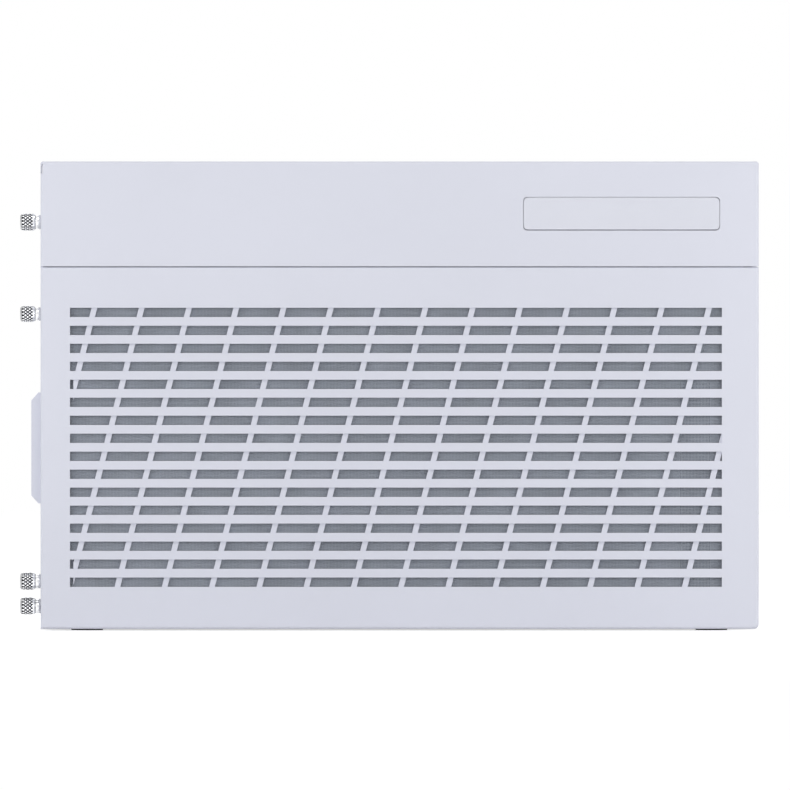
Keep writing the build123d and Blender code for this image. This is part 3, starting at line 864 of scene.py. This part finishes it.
@dataclass
class FilterNet:
    """Fine woven net behind the slots.

    Attributes:
        pitch: Distance between threads.
        thread: Width of a thread.
        ease: Bevel at a thread's edges.
        overlap: How far each layer of threads passes the middle of the net.
    """

    pitch: float = 0.8 * MM
    thread: float = 0.5 * MM
    ease: float = 0.11 * MM
    overlap: float = 0.05 * MM

    def strand(self, name: str, low: Vector, high: Vector, along: int, count: int) -> Piece:
        """Model one flat-sided thread with eased edges and repeat it.

        Args:
            name: Name of the set.
            low: Lowest corner of the first thread.
            high: Highest corner of the first thread.
            along: Axis that the threads repeat along, 0 for X and 2 for Z.
            count: Number of threads.

        Returns:
            The set of threads.
        """
        thread = Bench.block(name, low, high)
        Bench.apply(thread, "BEVEL", width=self.ease, segments=1)
        step = [0.0, 0.0, 0.0]
        step[along] = self.pitch
        Bench.apply(
            thread, "ARRAY", count=count, use_relative_offset=False, use_constant_offset=True,
            constant_offset_displace=step,
        )
        return thread

    def build(self, material: Material) -> None:
        """Weave the net in the space of the plain CAD sheet.

        Args:
            material: Finish of the threads.
        """
        low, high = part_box("filter_mesh")
        middle = (low.y + high.y) / 2
        wide = int((high.x - low.x - self.thread) / self.pitch) + 1
        tall = int((high.z - low.z - self.thread) / self.pitch) + 1
        upright = self.strand(
            "net_uprights", Vector((low.x, middle - self.overlap, low.z)),
            Vector((low.x + self.thread, high.y, high.z)), 0, wide,
        )
        level = self.strand(
            "net_levels", low,
            Vector((high.x, middle + self.overlap, low.z + self.thread)), 2, tall,
        )
        net = Bench.join("filter_net", [upright, level])
        dress(net, material, "left_panel")
        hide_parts("filter_mesh")


@dataclass
class Rivets:
    """Pop rivets that hold the rear wall to the rails and the shelf.

    Attributes:
        radius: Radius of the head.
        height: Height of the head.
        dome: Size of the rounding at the head's edge.
        bore: Radius of the pit in the middle.
        pit: Depth of the pit.
        sides: Sides of the head.
        places: Y and Z of each rivet.
    """

    radius: float = 2.6 * MM
    height: float = 0.7 * MM
    dome: float = 0.56 * MM
    bore: float = 0.9 * MM
    pit: float = 0.35 * MM
    sides: int = 28
    places: tuple[tuple[float, float], ...] = (
        (-92 * MM, 199 * MM), (92 * MM, 199 * MM), (-84 * MM, 174 * MM), (84 * MM, 174 * MM),
        (-92 * MM, 246 * MM), (92 * MM, 246 * MM),
    )

    def model(self) -> Piece:
        """Model one low domed head with its pit.

        Returns:
            The rivet, standing on the origin.
        """
        rivet = Bench.drum("rivet_model", self.radius, self.height, self.sides)
        Bench.edit(rivet)
        Bench.pick_faces(rivet, looks_up)
        bpy.ops.mesh.bevel(offset=self.dome, segments=4, affect="EDGES")
        Bench.pick_faces(rivet, lambda face: face.normal.z > FLAT)
        bpy.ops.mesh.inset(thickness=self.radius - self.dome - self.bore)
        Bench.pull(-self.pit)
        Bench.shut(rivet)
        Bench.smooth(rivet, 40)
        return rivet

    def build(self, material: Material) -> None:
        """Set the rivets on the rear wall.

        Args:
            material: Finish of the rivets.
        """
        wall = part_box("rear_wall")[0].x
        model = self.model()
        heads = []
        for number, (y, z) in enumerate(self.places):
            place = Matrix.Translation((wall, y, z)) @ Facing.REAR.turn
            heads.append(Bench.copy(model, f"rear_rivet_{number}", place))
        Bench.discard(model)
        rivets = Bench.join("rear_rivets", heads)
        dress(rivets, material, "chassis")


@dataclass
class PortContacts:
    """Gold contact strips on the tongues of the two wide ports.

    Attributes:
        count: Strips on each tongue.
        width: Width of a strip.
        thickness: Height of a strip over the tongue.
        pitch: Distance between strips.
        length: Length of a strip.
        setback: Distance from the port's mouth to the strips.
        sink: How far a strip reaches into the tongue, and the bevel at its edges.
    """

    count: int = 4
    width: float = 1.0 * MM
    thickness: float = 0.12 * MM
    pitch: float = 2.4 * MM
    length: float = 6.5 * MM
    setback: float = 1.6 * MM
    sink: float = 0.05 * MM

    def build(self, material: Material) -> None:
        """Lay the strips under both tongues.

        Args:
            material: Finish of the strips.
        """
        for node in ("rear_usb_port", "front_usb_port"):
            low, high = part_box(node)
            middle = (low + high) / 2
            mouth = low.y + self.setback
            strips = []
            for index in range(self.count):
                x = middle.x + (index - (self.count - 1) / 2) * self.pitch
                start = Vector((x - self.width / 2, mouth, middle.z - self.thickness))
                end = Vector((x + self.width / 2, mouth + self.length, middle.z + self.sink))
                strip = Bench.block(f"{node}_strip_{index}", start, end)
                Bench.apply(strip, "BEVEL", width=self.sink, segments=1)
                strips.append(strip)
            contacts = Bench.join(f"{node}_contacts", strips)
            dress(contacts, material, "chassis")


@dataclass
class PowerButton:
    """Turned power button with a dished cap.

    Attributes:
        rim: Width of the flat rim round the dish.
        dish: Depth that the dish aims at.
        dish_steps: Rings in the dish.
        dish_curve: How fast the dish flattens towards its middle.
        dish_fill: Share that makes up for the flattening.
        edge: Chamfer at the rim.
        cap: Radius of the cap.
        cap_length: Length of the cap.
        stem: Radius of the stem.
        sides: Sides of the turned form.
    """

    rim: float = 1.1 * MM
    dish: float = 0.45 * MM
    dish_steps: int = 6
    dish_curve: float = 1.5
    dish_fill: float = 1.4
    edge: float = 0.3 * MM
    cap: float = 8.0 * MM
    cap_length: float = 5.0 * MM
    stem: float = 3.0 * MM
    sides: int = 72

    def model(self, length: float) -> Piece:
        """Model the button along +Z: stem below, dished cap on top.

        Args:
            length: Length from the stem's end to the rim.

        Returns:
            The button, its rim at the height of the length.
        """
        button = Bench.drum("button_model", self.cap, self.cap_length, self.sides)
        Bench.edit(button)
        Bench.pick_faces(button, looks_down)
        bpy.ops.mesh.inset(thickness=self.cap - self.stem)
        Bench.pull(self.cap_length - length)
        Bench.pick_faces(button, looks_up)
        bpy.ops.mesh.bevel(offset=self.edge, segments=2, affect="EDGES")
        Bench.pick_faces(button, looks_up)
        bpy.ops.mesh.inset(thickness=self.rim)
        across = self.cap - self.edge - self.rim
        for step in range(self.dish_steps):
            bpy.ops.mesh.inset(thickness=across / (self.dish_steps + 1))
            slope = 1 - (step / self.dish_steps) ** self.dish_curve
            drop = self.dish * self.dish_fill * slope / self.dish_steps
            bpy.ops.transform.translate(value=(0, 0, -drop))
        Bench.shut(button)
        Bench.smooth(button, 35)
        return button

    def build(self) -> None:
        """Put the button in the place of the plain CAD one."""
        low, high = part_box("power_button")
        middle = (low + high) / 2
        model = self.model(high.x - low.x)
        place = Matrix.Translation((high.x - self.cap_length, middle.y, middle.z)) @ Facing.FRONT.turn
        button = Bench.copy(model, "dished_power_button", place)
        Bench.discard(model)
        material = replace(BUTTON_METAL, centre=(high.x, middle.y, middle.z)).make()
        dress(button, material, "power_button")
        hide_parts("power_button")


@dataclass
class Shell:
    """CAD nodes that keep their form and get a finish.

    Attributes:
        finishes: Finish for each group of nodes.
        made: Materials made so far, by name.
    """

    finishes: tuple[tuple[Finish, tuple[str, ...]], ...] = (
        (PAINT, ("left_panel", "right_panel", "top_cover", "vent_ribs")),
        (INNER_PAINT, (
            "floor_pan", "rear_wall", "front_wall", "left_rail", "right_rail", "psu_shelf", "left_tray_guide",
            "right_tray_guide", "drive_bracket", "io_bracket", "board_tray", "slot_covers",
        )),
        (MOULDED_WHITE, ("front_fascia", "io_door", "door_frame")),
        (FAN_BLACK, ("fan_frame", "fan_rotor")),
        (RIM_GREY, ("filter_frame", "filter_mesh")),
        (STEEL, ("fan_screws", "slot_screws")),
        (PORT_STEEL, ("rear_usb_port", "front_usb_port", "slim_usb_port")),
        (BRASS, ("board_standoffs",)),
        (BOARD, ("io_board",)),
        (JACK_BLACK, ("audio_jack", "power_switch")),
        (RUBBER, ("rear_left_foot", "rear_right_foot", "front_left_foot", "front_right_foot")),
    )
    made: dict[str, Material] = field(default_factory=dict)

    def material(self, finish: Finish) -> Material:
        """Return the material of a finish, made once.

        Args:
            finish: Finish to look up.

        Returns:
            Its material.
        """
        if finish.name not in self.made:
            self.made[finish.name] = finish.make()
        return self.made[finish.name]

    def coat(self, node: str, finish: Finish) -> None:
        """Give a CAD node a finish.

        Args:
            node: CAD node.
            finish: Finish that it gets.
        """
        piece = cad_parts[node]
        piece.data.materials.clear()
        piece.data.materials.append(self.material(finish))
        log.info("%s is finished in %s", node, finish.name)

    def build(self) -> None:
        """Finish every node that stays."""
        for finish, nodes in self.finishes:
            for node in nodes:
                self.coat(node, finish)


# Studio


@dataclass(frozen=True)
class Lamp:
    """Square soft lamp.

    Attributes:
        name: Name of the lamp.
        place: Where it hangs.
        aim: Point that it looks at.
        size: Side of the lamp.
        energy: Power in watts.
    """

    name: str
    place: Place
    aim: Place
    size: float
    energy: float

    def hang(self) -> None:
        """Hang the lamp and turn it to its aim."""
        Bench.clear()
        bpy.ops.object.light_add(type="AREA", location=self.place)
        lamp = bpy.context.active_object
        lamp.name = self.name
        lamp.data.shape = "SQUARE"
        lamp.data.size = self.size
        lamp.data.energy = self.energy
        lamp.rotation_euler = (Vector(self.aim) - Vector(self.place)).to_track_quat("-Z", "Y").to_euler()


@dataclass
class Studio:
    """Pale floor, soft lamps and the square-on camera.

    Attributes:
        pixel: Width of a photograph's pixel on the slotted face.
        frame_pixels: Side of the picture in pixels.
        face_left: Pixel column of the rear edge.
        face_low: Pixel row of the bottom edge.
        distance: Camera's distance from the face.
        reach: How far the camera sees.
        sensor: Sensor width in millimetres.
        floor_side: Side of the floor.
        floor_drop: Distance from the pads down to the floor.
        floor_rough: Roughness of the floor.
        floor_white: Reflectance of the floor.
        floor_glow: White added to the floor for the camera alone.
        world_light: Strength of the room's even light.
        lamps: The soft lamps round the case.
    """

    pixel: float = 0.5583 * MM
    frame_pixels: int = 790
    face_left: float = 40.6
    face_low: float = 628.9
    distance: float = 20.5
    reach: float = 50.0
    sensor: float = 36.0
    floor_side: float = 40.0
    floor_drop: float = 0.2 * MM
    floor_rough: float = 0.9
    floor_white: float = 0.86
    floor_glow: float = 0.58
    world_light: float = 0.5
    lamps: tuple[Lamp, ...] = (
        Lamp("top_lamp", (0.1, -1.3, 1.9), (0, -0.05, 0.13), 0.8, 8.0),
        Lamp("front_end_lamp", (0.72, -0.62, 0.32), (0.15, -0.1, 0.13), 0.6, 2.0),
        Lamp("rear_end_lamp", (-0.72, -0.62, 0.34), (-0.15, -0.1, 0.13), 0.6, 2.0),
        Lamp("back_lamp", (0.3, 1.9, 1.6), (0, 0, 0.13), 1.6, 10.0),
    )

    def camera(self) -> None:
        """Set the camera far off in line with the thumbscrews, so that the near ones hide the far ones."""
        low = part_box("left_panel")[0]
        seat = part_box("top_cover")[0].x
        middle = self.frame_pixels / 2
        x = seat + (middle - self.face_left) * self.pixel
        z = low.z + (self.face_low - middle) * self.pixel
        yaw = math.atan2(seat - x, self.distance)
        Bench.clear()
        place = (seat, low.y - self.distance, z)
        bpy.ops.object.camera_add(location=place, rotation=(math.radians(QUARTER_TURN), 0, yaw))
        view = bpy.context.active_object
        view.name = "front_camera"
        view.data.sensor_width = self.sensor
        view.data.lens = self.sensor * self.distance / (self.frame_pixels * self.pixel)
        view.data.clip_end = self.reach
        bpy.context.scene.camera = view

    def seen(self, tree: Tree) -> Socket:
        """Tell the rays that show the background from those that light the object.

        Args:
            tree: Tree to add to.

        Returns:
            1 for a ray from the camera, from gloss or through glass, otherwise 0.
        """
        rays = tree.nodes.new("ShaderNodeLightPath")
        value = rays.outputs["Is Camera Ray"]
        for kind in ("Is Glossy Ray", "Is Transmission Ray"):
            larger = tree.nodes.new("ShaderNodeMath")
            larger.operation = "MAXIMUM"
            tree.links.new(value, larger.inputs[0])
            tree.links.new(rays.outputs[kind], larger.inputs[1])
            value = larger.outputs["Value"]
        return value

    def floor(self) -> None:
        """Lay a wide pale floor that keeps the shadow and looks white."""
        Bench.clear()
        bpy.ops.mesh.primitive_plane_add(size=self.floor_side, location=(0, 0, -self.floor_drop))
        floor = Bench.named("studio_floor")
        material = bpy.data.materials.new("studio_white")
        material.use_nodes = True
        tree = material.node_tree
        shader = tree.nodes["Principled BSDF"]
        shader.inputs["Base Color"].default_value = (self.floor_white, self.floor_white, self.floor_white, 1)
        shader.inputs["Roughness"].default_value = self.floor_rough
        shader.inputs["Specular IOR Level"].default_value = 0.0
        glow = tree.nodes.new("ShaderNodeMath")
        glow.operation = "MULTIPLY"
        glow.inputs[1].default_value = self.floor_glow
        tree.links.new(self.seen(tree), glow.inputs[0])
        shader.inputs["Emission Color"].default_value = (1, 1, 1, 1)
        tree.links.new(glow.outputs["Value"], shader.inputs["Emission Strength"])
        floor.data.materials.append(material)

    def world(self) -> None:
        """Light the room evenly and show it white to the camera and to gloss."""
        world = bpy.data.worlds.new("studio_room")
        bpy.context.scene.world = world
        world.use_nodes = True
        tree = world.node_tree
        background = tree.nodes["Background"]
        background.inputs["Color"].default_value = (1, 1, 1, 1)
        strength = tree.nodes.new("ShaderNodeMapRange")
        strength.inputs["To Min"].default_value = self.world_light
        strength.inputs["To Max"].default_value = 1.0
        tree.links.new(self.seen(tree), strength.inputs["Value"])
        tree.links.new(strength.outputs["Result"], background.inputs["Strength"])

    def build(self) -> None:
        """Set up the floor, the room, the lamps and the camera."""
        bpy.context.scene.view_settings.view_transform = "Standard"
        self.floor()
        self.world()
        for lamp in self.lamps:
            lamp.hang()
        self.camera()


def main() -> None:
    """Dress the case, add its fine pieces and set up the studio."""
    logging.basicConfig(level=logging.INFO, format="%(name)s: %(message)s")
    shell = Shell()
    shell.build()
    Thumbscrews().build()
    FilterNet().build(shell.material(THREAD))
    Rivets().build(shell.material(STEEL))
    PowerButton().build()
    PortContacts().build(shell.material(GOLD))
    Studio().build()
    Bench.clear()


if __name__ == "__main__":
    main()
